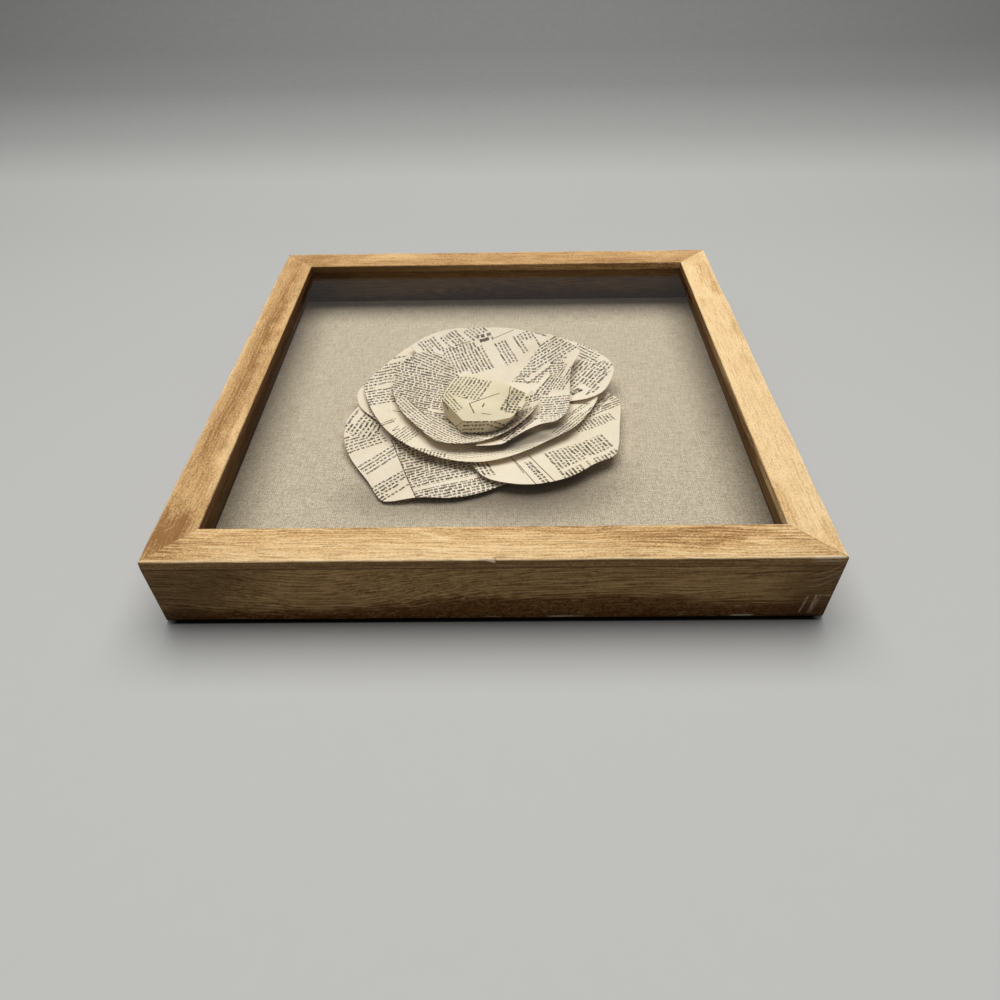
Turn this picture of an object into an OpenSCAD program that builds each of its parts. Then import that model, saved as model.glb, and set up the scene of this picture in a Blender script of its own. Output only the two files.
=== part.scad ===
// Shadow-box frame with a layered paper flower on a linen-covered panel behind glass.
// It lies on its back: X runs across, Y up the picture and Z from the back to the face.
// The origin is at the middle of the back, on the plane that the box rests on.

/* [Frame] */
// Outer width of the frame
frame_w = 300; // [240:5:420]
// Outer length of the frame, from its lower to its upper rail
frame_l = 300; // [240:5:420]
// Width of the flat face strips
face_w = 20; // [14:1:30]
// Thickness of the face strips
face_t = 5; // [3:0.5:8]
// Thickness of the side boards
board_t = 9; // [8:0.5:12]

/* [Glass] */
// Thickness of the pane
glass_t = 2; // [1.5:0.5:4]
// Depth of the rebate that holds the pane's edge
glass_bite = 3; // [2:0.5:4]
// Air between the flower's bud and the pane
air_gap = 6; // [2:0.5:20]

/* [Back] */
// Thickness of the hardboard panel
panel_t = 2.5; // [2:0.5:4]
// Thickness of the linen glued to the panel
linen_t = 0.5; // [0.3:0.1:1]
// Depth of the rebate that holds the panel's edge
panel_bite = 4; // [3:0.5:5]
// Depth of the recess behind the panel
recess = 3; // [2.5:0.5:6]
// Clearance round the pane and the panel in their rebates
pane_gap = 0.5; // [0.2:0.1:1]

/* [Fasteners] */
// Length of each framing point
point_l = 15; // [12:1:18]
// Width of each framing point
point_w = 8; // [5:0.5:10]
// Thickness of each framing point
point_t = 0.5; // [0.3:0.1:0.8]
// How deep a framing point is driven into its board
point_bite = 3; // [2:0.5:4]
// Crown width of the corner staples
staple_w = 9; // [8:0.5:12]
// Leg length of the corner staples
staple_l = 14; // [10:1:18]
// Thickness of the staple wire
wire_t = 0.9; // [0.6:0.1:1.2]
// Distance of each staple from the end of its board
staple_inset = 7; // [6.5:0.5:8]
// How deep the staples are sunk under their filler
sink = 0.8; // [0.4:0.1:1.2]

/* [Hanger] */
// Length of the sawtooth hanger
hanger_l = 45; // [40:1:60]
// Width of the hanger strip
hanger_w = 9; // [7:0.5:12]
// Thickness of the hanger strip
hanger_t = 0.8; // [0.5:0.1:1]
// Height of the hanger's raised middle above its feet
hanger_rise = 1.2; // [1:0.1:1.4]
// Distance from the upper board to the hanger
hanger_drop = 10; // [6:1:30]
// Number of teeth along the hanger
teeth = 11; // [7:2:15]
// Shank radius of the hanger rivets
rivet_r = 1; // [0.8:0.1:1.4]

/* [Paper flower] */
// Width of the open flower
bloom_w = 160; // [110:5:175]
// How strongly the petals curl, as a share of their full curl
curl = 1; // [0.7:0.05:1.1]
// Thickness of the petal paper
paper_t = 0.3; // [0.2:0.05:0.4]
// Height of the folded bud
bud_h = 13; // [9:0.5:16]
// Radius of the card disc under the flower
disc_r = 26; // [20:1:32]
// Thickness of the card disc
disc_t = 0.5; // [0.4:0.1:1]
// Radius of the foam pad between lower and middle petals
lower_pad_r = 17; // [12:1:22]
// Radius of the foam pad between middle and inner petals
upper_pad_r = 12; // [9:1:16]
// Thickness of the foam pads
pad_t = 1.5; // [1:0.25:3]
// Gap left between papers that lie on each other
seat = 0.3; // [0.2:0.05:0.4]

/* [Hidden] */

// Colours
honey = "#c79c62";
umber = "#8a6238";
steel = "#b9bcc0";
paper = "#ece4d0";
cream = "#e3d6b4";

// Small overshoot of every cutting solid
cut = 0.01;

// Paper flower, measured up from the linen
lap = paper_t + seat;
layer_t = lap + paper_t;
lower_z = disc_t + seat;
lower_pad_z = lower_z + layer_t + seat;
middle_z = lower_pad_z + pad_t + seat;
upper_pad_z = middle_z + layer_t + seat;
inner_z = upper_pad_z + pad_t + seat;
bud_z = inner_z + layer_t + seat;
bloom_h = bud_z + bud_h;

// Frame, measured up from the plane that it lies on
panel_z = recess;
linen_z = panel_z + panel_t;
bloom_z = linen_z + linen_t;
glass_z = bloom_z + bloom_h + air_gap;
board_h = glass_z + glass_t;

// Rows and columns of the petal grids
rows = 6;
steps = 3;
// Share of the drawn flower at which it is made
bloom_drawn_w = 160;
spread = bloom_w / bloom_drawn_w;
// Inner radius at which every petal starts
heart_r = 7;
// How late the petals of each layer turn up towards their rims
lower_cup = 1.5;
middle_cup = 1.6;
inner_cup = 1.7;
// Height of the small waves along the rims
outer_flutter = 0.3;
inner_flutter = 0.2;
// Radii within which the petals of each layer lie flat, glued under what they carry
lower_flat_r = lower_pad_r + 1;
middle_flat_r = upper_pad_r + 1;
inner_flat_r = 17;
// Middle of the outer layers, of the inner layer and of the bud
outer_c = [-6, 0];
inner_c = [-6, -8];
bud_c = [-6, -12];

// ---------------------------------------------------------------- frame

// Length of the board or strip on side k: 0 lower, 1 right, 2 upper, 3 left
function side_len(k) = k % 2 == 0 ? frame_w : frame_l;
function side_out(k) = k % 2 == 0 ? frame_l / 2 : frame_w / 2;

// Puts a piece drawn along X, with its outer face at Y = 0, on side k
module on_side(k) {
    rotate(90 * k) translate([0, -side_out(k), 0]) children();
}

// Length of rail with mitred ends, in plan
module mitred(length, width) {
    half = length / 2;
    polygon([[-half, 0], [half, 0], [half - width, width], [-half + width, width]]);
}

module face_strip(k) {
    color(honey) on_side(k) translate([0, 0, board_h])
        linear_extrude(face_t) mitred(side_len(k), face_w);
}

module side_board(k) {
    length = side_len(k);
    color(umber) difference() {
        on_side(k) difference() {
            linear_extrude(board_h) mitred(length, board_t);
            // rebate for the pane
            translate([-length / 2, board_t - glass_bite, glass_z])
                cube([length, glass_bite + cut, glass_t + cut]);
            // rebate for the panel
            translate([-length / 2, board_t - panel_bite, -cut])
                cube([length, panel_bite + cut, bloom_z + cut]);
        }
        all_points();
        all_staples();
        all_fillers();
    }
}

// Rectangle that fits between the rebates, in plan
module fitted(bite) {
    inset = 2 * (board_t - bite + pane_gap);
    square([frame_w - inset, frame_l - inset], center = true);
}

module glass_pane() {
    color([0.85, 0.93, 0.92, 0.3]) translate([0, 0, glass_z])
        linear_extrude(glass_t) fitted(glass_bite);
}

module backing_panel() {
    color("#6f4f33") difference() {
        translate([0, 0, panel_z]) linear_extrude(panel_t) fitted(panel_bite);
        at_rivets() translate([0, 0, panel_z - cut])
            cylinder(r = rivet_r + rivet_gap, h = panel_t + 2 * cut, $fn = 32);
    }
}

module linen_cloth() {
    color("#cdc2ae") translate([0, 0, linen_z])
        linear_extrude(linen_t) fitted(panel_bite);
}

// ---------------------------------------------------------------- fasteners

// Framing point: a steel tab with a pointed tip driven into the board
module framing_point() {
    half = point_w / 2;
    neck = point_l - half;
    linear_extrude(point_t)
        polygon([[-half, 0], [half, 0], [half, neck], [0, point_l], [-half, neck]]);
}

module all_points() {
    tip_y = board_t - panel_bite - point_bite;
    for (k = [0:3], along = [-1, 1])
        on_side(k) translate([along * side_len(k) / 4, tip_y + point_l, panel_z - point_t])
            rotate(180) framing_point();
}

module framing_points() {
    color(steel) all_points();
}

// Staple across the mitre: its crown stands upright in the face of the board
module corner_staple() {
    translate([-wire_t / 2, sink, 0]) {
        cube([wire_t, wire_t, staple_w]);
        for (z = [0, staple_w - wire_t])
            translate([0, 0, z]) cube([wire_t, staple_l, wire_t]);
    }
}

// The legs pass above the rebate for the panel
staple_clear = 0.4;
staple_z = bloom_z + staple_clear;

module at_staples() {
    for (k = [0:3])
        on_side(k) translate([side_len(k) / 2 - staple_inset, 0, staple_z]) children();
}

module all_staples() {
    at_staples() corner_staple();
}

module all_fillers() {
    at_staples() translate([-wire_t / 2, 0, 0]) cube([wire_t, sink, staple_w]);
}

module corner_staples() {
    color(steel) all_staples();
}

module staple_filler() {
    color("#a98a62") all_fillers();
}

// ---------------------------------------------------------------- hanger

hanger_y = frame_l / 2 - board_t - hanger_drop - hanger_w;
foot_l = 9;
ramp_l = 2;
rivet_gap = 0.05;
rivet_x = hanger_l / 2 - foot_l / 2;
head_r = 2 * rivet_r;
head_t = 0.8;

module at_rivets() {
    for (side = [-1, 1])
        translate([side * rivet_x, hanger_y + hanger_w / 2, 0]) children();
}

// Side view of the bent strip, drawn down from the panel's back
module hanger_profile() {
    end = hanger_l / 2;
    foot = end - foot_l;
    top = foot - ramp_l;
    low = hanger_rise + hanger_t;
    polygon([
        [-end, 0], [-foot, 0], [-top, -hanger_rise], [top, -hanger_rise], [foot, 0], [end, 0],
        [end, -hanger_t], [foot, -hanger_t], [top, -low], [-top, -low], [-foot, -hanger_t],
        [-end, -hanger_t]
    ]);
}

module sawtooth_hanger() {
    tooth_w = 2 * (hanger_l / 2 - foot_l - ramp_l) / teeth;
    tooth_h = hanger_w / 4.5;
    color(steel) difference() {
        translate([0, hanger_y + hanger_w, panel_z])
            rotate([90, 0, 0]) linear_extrude(hanger_w) hanger_profile();
        // notches between the teeth, along the edge towards the lower rail
        for (i = [0:teeth - 1])
            translate([(i - (teeth - 1) / 2) * tooth_w, hanger_y, 0])
                linear_extrude(panel_z)
                    polygon([[-tooth_w / 2, -cut], [tooth_w / 2, -cut], [0, tooth_h]]);
        at_rivets() translate([0, 0, panel_z - hanger_t - cut])
            cylinder(r = rivet_r + rivet_gap, h = hanger_t + 2 * cut, $fn = 32);
    }
}

module hanger_rivets() {
    foot_z = panel_z - hanger_t;
    color(steel) at_rivets() union() {
        translate([0, 0, foot_z - head_t]) cylinder(r = head_r, h = head_t, $fn = 32);
        translate([0, 0, foot_z - head_t])
            cylinder(r = rivet_r, h = linen_z - foot_z + head_t, $fn = 32);
    }
}

// ---------------------------------------------------------------- petals

// Smooth curve through the points p, at the share t of its span i
function spline(p, i, t) =
    let (a = p[max(i - 1, 0)], b = p[i], c = p[i + 1], d = p[min(i + 2, len(p) - 1)])
    0.5 * (2 * b + (c - a) * t + (2 * a - 5 * b + 4 * c - d) * t * t
        + (3 * b - a - 3 * c + d) * t * t * t);

function rim_curve(p) = concat(
    [for (i = [0:len(p) - 2], k = [0:steps - 1]) spline(p, i, k / steps)],
    [p[len(p) - 1]]
);

// Step that rises smoothly from 0 to 1 as t passes middle
function ease(t, middle) =
    let (s = min(max(5 * (t - middle) + 0.5, 0), 1)) s * s * (3 - 2 * s);

// Point of a petal's underside at the share u along its rim and v from its heart to its rim
function petal_point(rim, centre, flat_r, lift, cup, flutter, shift, u, v) =
    let (
        p = rim[round(u * (len(rim) - 1))],
        out = [p.x, p.y] - centre,
        reach = norm(out),
        r = heart_r + (reach - heart_r) * v,
        xy = centre + out * (r / reach),
        free = max(0, (r - flat_r / spread) / (reach - flat_r / spread)),
        lapped = lift[0] + (lift[1] - lift[0]) * ease(u, shift),
        rise = lapped + curl * p.z * pow(free, cup),
        wave = flutter * sin(180 * u) * sin(1080 * u) * free * free
    )
    [xy.x * spread, xy.y * spread, rise + wave];

// Sheet of paper on the grid of points g, closed by the same grid raised by its thickness
module sheet(g) {
    m = len(g);
    n = len(g[0]);
    low = [for (row = g, p = row) p];
    high = [for (row = g, p = row) p + [0, 0, paper_t]];
    up = m * n;
    function at(i, j) = i * n + j;
    faces = concat(
        [for (i = [0:m - 2], j = [0:n - 2]) each [
            [at(i, j), at(i + 1, j + 1), at(i + 1, j)],
            [at(i, j), at(i, j + 1), at(i + 1, j + 1)],
            [up + at(i, j), up + at(i + 1, j), up + at(i + 1, j + 1)],
            [up + at(i, j), up + at(i + 1, j + 1), up + at(i, j + 1)]
        ]],
        [for (i = [0:m - 2]) each [
            [at(i, 0), up + at(i + 1, 0), up + at(i, 0)],
            [at(i, 0), at(i + 1, 0), up + at(i + 1, 0)],
            [at(i, n - 1), up + at(i, n - 1), up + at(i + 1, n - 1)],
            [at(i, n - 1), up + at(i + 1, n - 1), at(i + 1, n - 1)]
        ]],
        [for (j = [0:n - 2]) each [
            [at(0, j), up + at(0, j), up + at(0, j + 1)],
            [at(0, j), up + at(0, j + 1), at(0, j + 1)],
            [at(m - 1, j), up + at(m - 1, j + 1), up + at(m - 1, j)],
            [at(m - 1, j), at(m - 1, j + 1), up + at(m - 1, j + 1)]
        ]]
    );
    polyhedron(concat(low, high), faces);
}

// Petal whose rim passes through points [x, y, rise], in order from the right round to the left.
// lift raises its first and its last side, so that each petal laps over its neighbour,
// and shift is the share of the rim at which one lift passes into the other.
module petal(points, centre, seat_z, flat_r, lift, cup, flutter, shift) {
    rim = rim_curve(points);
    columns = len(rim) - 1;
    color(paper) translate([0, 0, bloom_z + seat_z]) sheet([
        for (c = [0:columns]) [
            for (r = [0:rows])
                petal_point(rim, centre, flat_r, lift, cup, flutter, shift, c / columns, r / rows)
        ]
    ]);
}

module lower_petal(points, shift = 0.5) {
    petal(points, outer_c, lower_z, lower_flat_r, [lap, 0], lower_cup, outer_flutter, shift);
}

module middle_petal(points, shift = 0.5) {
    petal(points, outer_c, middle_z, middle_flat_r, [lap, 0], middle_cup, outer_flutter, shift);
}

module inner_petal(points, lift, shift = 0.5) {
    petal(points, inner_c, inner_z, inner_flat_r, lift, inner_cup, inner_flutter, shift);
}

module lower_petal_front_left() {
    lower_petal([
        [-76, 6, 4.8], [-82, -4, 5], [-86, -18, 5], [-85, -34, 3.4], [-78, -50, 1.8],
        [-67, -66, 1.2], [-58, -80, 1], [-40, -79, 2.6], [-20, -79, 2], [0, -72, 2], [14, -62, 2]
    ]);
}

module lower_petal_front_right() {
    lower_petal([
        [-14, -50, 3], [-7, -64, 4], [4, -71, 5], [22, -73, 5.2], [41, -67, 4.8],
        [55, -57, 6.2], [67, -49, 6.8], [71, -26, 7.2], [74, -6, 6.4], [73, 6, 5], [62, 18, 3.6]
    ]);
}

module lower_petal_right() {
    lower_petal([
        [58, 4, 4.6], [67, 22, 5.2], [71, 40, 5.4], [67, 56, 5.2], [53, 70, 5],
        [35, 78, 4.8], [18, 78, 4]
    ]);
}

module lower_petal_back() {
    lower_petal([
        [40, 72, 5.6], [22, 82, 5.6], [4, 87, 5.4], [-16, 88, 5.4], [-34, 86, 5],
        [-48, 76, 4.6], [-56, 62, 4]
    ]);
}

module lower_petal_left() {
    lower_petal([
        [-40, 77, 5.4], [-56, 64, 5.4], [-68, 47, 5], [-75, 30, 4.6], [-76, 12, 4], [-70, -6, 3.4]
    ]);
}

module middle_petal_front() {
    middle_petal([
        [-48, 60, 9], [-58, 50, 8.8], [-68, 34, 8.2], [-76, 20, 7.8], [-79, 12, 7],
        [-76, 0, 6.2], [-70, -14, 5], [-60, -30, 3.8], [-44, -44, 3.2], [-26, -53, 3.6],
        [-6, -56, 4.2], [14, -49, 4.2], [30, -39, 4.6], [43, -30, 5.2], [52, -19, 5.6],
        [59, -6, 6.2], [61, 3, 6], [55, 12, 5.2]
    ]);
}

module middle_petal_right() {
    middle_petal([
        [54, -4, 7.2], [64, 3, 7], [70, 14, 8.2], [73, 26, 9.2], [68, 40, 9.2],
        [53, 56, 9.2], [36, 66, 9.2], [18, 71, 8.8], [0, 72, 8]
    ]);
}

module middle_petal_left() {
    middle_petal([
        [12, 68, 9.4], [-10, 72, 9.4], [-34, 69, 8.4], [-52, 56, 7.4], [-68, 36, 6],
        [-79, 20, 4.8], [-83, 10, 4.4], [-81, -2, 4], [-75, -10, 3.4], [-62, -22, 2.4]
    ], 0.18);
}

module inner_petal_left() {
    inner_petal([
        [-31, 41, 6.4], [-44, 43, 8.4], [-54, 37, 8.2], [-60, 30, 7.2], [-62, 13, 5.4],
        [-59, -2, 4.4], [-52, -18, 4.2], [-42, -31, 4.4], [-32, -43, 5], [-18, -46, 5.2],
        [-4, -43, 5.2], [8, -35, 5.2], [17, -25, 5.6], [24, -14, 6], [26, -5, 6.2], [22, 3, 5.6]
    ], [lap, lap]);
}

module inner_petal_right() {
    inner_petal([
        [-10, -46, 4.2], [4, -45, 4.2], [14, -36, 4.4], [26, -28, 5], [35, -26, 5.4],
        [42, -17, 5.8], [44, -4, 6.8], [45, 10, 8], [47, 24, 9.2], [53, 39, 10.2],
        [45, 49, 11.4], [34, 57, 12.2]
    ], [0, lap], 0.75);
}

module inner_petal_back() {
    inner_petal([
        [46, 43, 9], [38, 52, 10.4], [26, 60, 11.4], [8, 66, 11.8], [-12, 67, 11.9],
        [-28, 66, 11.7], [-43, 59, 11.2], [-54, 48, 10]
    ], [0, 0]);
}

// ---------------------------------------------------------------- heart of the flower

module pad(centre, radius, z, thickness) {
    translate([centre.x * spread, centre.y * spread, bloom_z + z])
        cylinder(r = radius, h = thickness, $fn = 64);
}

module card_disc() {
    color("#d9cba6") pad(outer_c, disc_r, 0, disc_t);
}

module foam_pad_lower() {
    color("white") pad(outer_c, lower_pad_r, lower_pad_z, pad_t);
}

module foam_pad_upper() {
    color("white") pad(outer_c, upper_pad_r, upper_pad_z, pad_t);
}

// Shares of its reach to which the bud's ridge is drawn in at its waist, foot and crown
bud_waist = 0.84;
bud_end = 0.5;
// Height of the waist, as a share of the ridge's
waist_h = 0.15;
// Sideways shifts of the foot and waist, and of the crown
waist_shift = [-3, -2];
crown_shift = [-2, -4];
// Size of the bud's hollow: its skin is a little over a millimetre of folded paper
bud_hollow = 0.94;
// Corners of the bud's folded ridge: [x, y, share of the bud's height]
bud_ridge = [
    [18, -7, 0.78], [5, 2, 0.93], [-8, 9, 1], [-25, 6, 1], [-30, -14, 0.93],
    [-17, -34, 0.84], [-2, -35, 0.84], [9, -31, 0.82], [17, -20, 0.78]
];

// Ring of the bud: its ridge drawn in to a share of its reach and moved sideways
function bud_ring(reach, sideways) = [
    for (p = bud_ridge)
        let (xy = bud_c + sideways + ([p.x, p.y] - bud_c) * reach)
        [xy.x * spread, xy.y * spread, p.z]
];

// The same ring with its heights replaced: a share of the ridge's, or one height for all
function lowered(ring, share) = [for (p = ring) [p.x, p.y, p.z * share]];
function level(ring, z) = [for (p = ring) [p.x, p.y, z]];

// Folded skin of the bud as one solid, from a flat foot over the ridge to the crown
module bud_solid(foot_z) {
    n = len(bud_ridge);
    foot = level(bud_ring(bud_end, waist_shift), foot_z);
    waist = lowered(bud_ring(bud_waist, waist_shift), waist_h * bud_h);
    ridge = lowered(bud_ring(1, [0, 0]), bud_h);
    crown = level(bud_ring(bud_end, crown_shift), bud_h);
    rings = concat(foot, waist, ridge, crown);
    sides = [
        for (k = [0:2], i = [0:n - 1])
            let (a = k * n + i, b = k * n + (i + 1) % n) each [[a, a + n, b], [b, a + n, b + n]]
    ];
    polyhedron(rings, concat(sides, [
        [for (i = [0:n - 1]) i],
        [for (i = [n - 1:-1:0]) 3 * n + i]
    ]));
}

module folded_bud() {
    middle = [bud_c.x * spread, bud_c.y * spread, 0];
    color(cream) translate([0, 0, bloom_z + bud_z]) difference() {
        bud_solid(0);
        translate(middle) scale(bud_hollow) translate(-middle) bud_solid(-1);
    }
}

// ---------------------------------------------------------------- pieces

module face_strip_front() { face_strip(0); }
module face_strip_right() { face_strip(1); }
module face_strip_back() { face_strip(2); }
module face_strip_left() { face_strip(3); }
module side_board_front() { side_board(0); }
module side_board_right() { side_board(1); }
module side_board_back() { side_board(2); }
module side_board_left() { side_board(3); }

face_strip_front();
face_strip_right();
face_strip_back();
face_strip_left();
side_board_front();
side_board_right();
side_board_back();
side_board_left();
glass_pane();
backing_panel();
linen_cloth();
framing_points();
corner_staples();
staple_filler();
sawtooth_hanger();
hanger_rivets();
card_disc();
foam_pad_lower();
foam_pad_upper();
lower_petal_front_left();
lower_petal_front_right();
lower_petal_right();
lower_petal_back();
lower_petal_left();
middle_petal_front();
middle_petal_right();
middle_petal_left();
inner_petal_left();
inner_petal_right();
inner_petal_back();
folded_bud();
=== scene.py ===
"""Shadow box with a layered paper flower on linen behind glass, lying on its back."""

import math

import bmesh
import bpy
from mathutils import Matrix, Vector, noise


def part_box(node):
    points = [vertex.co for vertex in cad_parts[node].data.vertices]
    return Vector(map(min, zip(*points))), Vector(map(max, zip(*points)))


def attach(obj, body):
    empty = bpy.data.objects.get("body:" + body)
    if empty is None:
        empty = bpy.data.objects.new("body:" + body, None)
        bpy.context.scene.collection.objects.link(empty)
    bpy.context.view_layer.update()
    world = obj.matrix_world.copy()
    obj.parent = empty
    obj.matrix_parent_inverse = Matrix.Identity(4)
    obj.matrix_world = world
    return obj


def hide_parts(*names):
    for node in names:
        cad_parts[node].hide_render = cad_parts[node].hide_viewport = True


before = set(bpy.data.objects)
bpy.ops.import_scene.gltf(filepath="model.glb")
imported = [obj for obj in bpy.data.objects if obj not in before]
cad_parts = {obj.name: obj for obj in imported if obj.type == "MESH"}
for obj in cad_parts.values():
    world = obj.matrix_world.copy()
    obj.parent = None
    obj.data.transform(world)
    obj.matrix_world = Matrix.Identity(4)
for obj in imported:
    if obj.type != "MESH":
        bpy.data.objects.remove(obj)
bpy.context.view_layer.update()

MM = 0.001


# -------------------- node trees


class Wire:
    """A value that changes over a surface or a shape, on which plain maths adds nodes."""

    def __init__(self, tree, socket):
        self.tree = tree
        self.socket = socket

    def maths(self, operation, *values):
        return self.tree.maths(operation, self, *values)

    def other(self, output):
        """Another output of the node that this one comes from."""
        return Wire(self.tree, self.socket.node.outputs[output])

    def __add__(self, value):
        return self.maths("ADD", value)

    __radd__ = __add__

    def __sub__(self, value):
        return self.maths("SUBTRACT", value)

    def __rsub__(self, value):
        return self.tree.maths("SUBTRACT", value, self)

    def __mul__(self, value):
        return self.maths("MULTIPLY", value)

    __rmul__ = __mul__

    def __truediv__(self, value):
        return self.maths("DIVIDE", value)

    def __rtruediv__(self, value):
        return self.tree.maths("DIVIDE", value, self)

    def __lt__(self, value):
        return self.maths("LESS_THAN", value)

    def __gt__(self, value):
        return self.maths("GREATER_THAN", value)

    def __abs__(self):
        return self.maths("ABSOLUTE")


class Tree:
    """A node tree, to which every node is added in one way."""

    def __init__(self, tree, prefix="ShaderNode"):
        self.tree = tree
        self.prefix = prefix

    def node(self, kind, settings=None, sockets=None, out=0):
        """Adds a node with its settings, then its sockets' values or links. Gives one output."""
        prefix = "" if kind.startswith(("Node", "ShaderNode", "GeometryNode")) else self.prefix
        made = self.tree.nodes.new(prefix + kind)
        for name, value in (settings or {}).items():
            if name == "stops":
                self.set_stops(made.color_ramp, value)
            else:
                setattr(made, name, value)
        for name, value in (sockets or {}).items():
            socket = made.inputs[name]
            if isinstance(value, Wire):
                self.tree.links.new(value.socket, socket)
            elif socket.type == "RGBA":
                socket.default_value = tuple(value) + (1.0,)
            else:
                socket.default_value = value
        return Wire(self, made.outputs[out]) if made.outputs else made

    def set_stops(self, ramp, stops):
        while len(ramp.elements) < len(stops):
            ramp.elements.new(0.5)
        for element, (place, colour) in zip(ramp.elements, stops):
            element.position = place
            element.color = tuple(colour) + (1.0,)

    def maths(self, operation, *values):
        return self.node("ShaderNodeMath", {"operation": operation}, dict(enumerate(values)))

    def step(self, value, low, high):
        """0 below low and 1 above high, smooth between; it falls where low is above high."""
        sockets = {"Value": value, "From Min": low, "From Max": high}
        return self.node("ShaderNodeMapRange", {"interpolation_type": "SMOOTHSTEP"}, sockets)

    def vector_maths(self, operation, *values, out=0):
        sockets = dict(enumerate(values))
        return self.node("ShaderNodeVectorMath", {"operation": operation}, sockets, out)

    def mix(self, first, second, share):
        sockets = {0: share, 6: first, 7: second}
        return self.node("ShaderNodeMix", {"data_type": "RGBA"}, sockets, out=2)

    def ramp(self, stops, place):
        return self.node("ShaderNodeValToRGB", {"stops": stops}, {"Fac": place})

    def stretched(self, vector, scale, turn=0.0, shift=(0.0, 0.0, 0.0)):
        """The vector scaled, turned about Z and moved, in that order."""
        angles = (0.0, 0.0, turn)
        sockets = {"Vector": vector, "Scale": scale, "Rotation": angles, "Location": shift}
        return self.node("ShaderNodeMapping", {}, sockets)

    def grains(self, vector, detail=3.0, roughness=0.5):
        sockets = {"Vector": vector, "Scale": 1.0, "Detail": detail, "Roughness": roughness}
        return self.node("ShaderNodeTexNoise", {}, sockets)

    def streaked(self, vector, scale, shift=(0.0, 0.0, 0.0), **settings):
        """Noise with a fineness of its own along each axis."""
        return self.grains(self.stretched(vector, scale, shift=shift), **settings)

    def split(self, vector):
        x = self.node("ShaderNodeSeparateXYZ", {}, {"Vector": vector})
        return x, x.other(1), x.other(2)

    def joined(self, x, y, z=0.0):
        return self.node("ShaderNodeCombineXYZ", {}, {0: x, 1: y, 2: z})

    def bump(self, height, depth_mm, strength):
        sockets = {"Height": height, "Distance": depth_mm * MM, "Strength": strength}
        return self.node("ShaderNodeBump", {}, sockets)


def new_finish(name):
    material = bpy.data.materials.new(name)
    material.use_nodes = True
    material.node_tree.nodes.clear()
    return material, Tree(material.node_tree)


def millimetres(tree):
    """The surface's own place, in millimetres."""
    place = tree.node("ShaderNodeTexCoord", out="Object")
    return tree.stretched(place, (1000.0, 1000.0, 1000.0))


def surface(tree, **sockets):
    sockets = {name.replace("_", " "): value for name, value in sockets.items()}
    shader = tree.node("ShaderNodeBsdfPrincipled", {}, sockets)
    tree.node("ShaderNodeOutputMaterial", {}, {"Surface": shader})


def new_group(name, kind, inputs, outputs):
    """An empty node group, with its sockets' names and types."""
    group = bpy.data.node_groups.new(name, kind)
    for way, sockets in (("INPUT", inputs), ("OUTPUT", outputs)):
        for label, sort in sockets:
            group.interface.new_socket(label, in_out=way, socket_type="NodeSocket" + sort)
    return group


def new_pattern(name, vectors, numbers, outputs):
    """A shader group with named inputs and outputs, its tree and its inputs as wires."""
    inputs = [(label, "Vector") for label in vectors] + [(label, "Float") for label in numbers]
    group = new_group(name, "ShaderNodeTree", inputs, [(label, "Float") for label in outputs])
    tree = Tree(group)
    first = tree.node("NodeGroupInput")
    return group, tree, {label: first.other(label) for label, _ in inputs}


# -------------------- wood

HONEY = [
    (0.0, (0.29, 0.145, 0.052)),
    (0.22, (0.45, 0.262, 0.112)),
    (0.55, (0.67, 0.43, 0.195)),
    (1.0, (0.87, 0.645, 0.36)),
]
WALNUT = [(0.0, (0.12, 0.057, 0.017)), (0.5, (0.29, 0.172, 0.068)), (1.0, (0.44, 0.285, 0.128))]
RUSSET = (0.34, 0.165, 0.060)
BARK = (0.20, 0.105, 0.040)
CHAR = (0.055, 0.024, 0.009)
LIP_RED = (0.125, 0.048, 0.016)
SCRATCH = (0.86, 0.66, 0.40)
RAW = (0.93, 0.79, 0.58)
WORN_ARRIS = (0.90, 0.72, 0.46)
FRESH_CHIP = (0.98, 0.76, 0.54)
FOOT_RED = (0.088, 0.026, 0.003)
# Near-black of the painted contact shadow along the boards' foot
FOOT_SHADOW = (0.006, 0.004, 0.003)
PALE_MARK = (0.62, 0.48, 0.33)
COMBED = (0.55, 0.40, 0.25)

# Places along the front rail, in mm: the chip at its upper edge, the split at its right end,
# the pale marks near the corner, with their heights and lean, the combed patch above them, with
# its height, and the rubbed marks at the foot.
CHIP_AT = -1.7
SPLIT_AT = 142.0
MARK_LINE_AT = 139.0
MARK_BAND_AT = 143.6
MARK_CAP_AT = 146.0
MARK_MIDDLE = 9.0
MARK_TOP = 15.0
MARK_LEAN = 0.10
COMB_AT = 137.0
COMB_HEIGHT = 19.0
FOOT_MARKS_AT = (33.0, 113.0)


def oval_pattern():
    """A soft oval patch, 1 in its middle and 0 at its rim."""
    group, tree, given = new_pattern("Ellipse", ("Place", "Centre", "Half"), (), ("Ellipse",))
    offset = tree.vector_maths("SUBTRACT", given["Place"], given["Centre"])
    reach = tree.vector_maths("LENGTH", tree.vector_maths("DIVIDE", offset, given["Half"]), out=1)
    tree.node("NodeGroupOutput", {}, {"Ellipse": tree.step(reach, 1.0, 0.2)})
    return group


def oval_patches(tree, place, patch_list):
    """Sum of the listed patches (along, out, half length, half width, amount)."""
    total = None
    for along, out, half_along, half_out, amount in patch_list:
        sockets = {"Place": place, "Centre": (along, out, 0.0), "Half": (half_along, half_out, 1.0)}
        patch = tree.node("ShaderNodeGroup", {"node_tree": oval_group}, sockets)
        total = patch * amount if total is None else total + patch * amount
    return total


def rail_frame(tree, turned):
    """Millimetres along the rail, across it and up, from the rail's own direction."""
    spot = millimetres(tree)
    if turned:
        spot = tree.stretched(spot, (1.0, 1.0, 1.0), turn=-math.pi / 2)
    along, across, up = tree.split(spot)
    return spot, along, across, up


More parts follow.
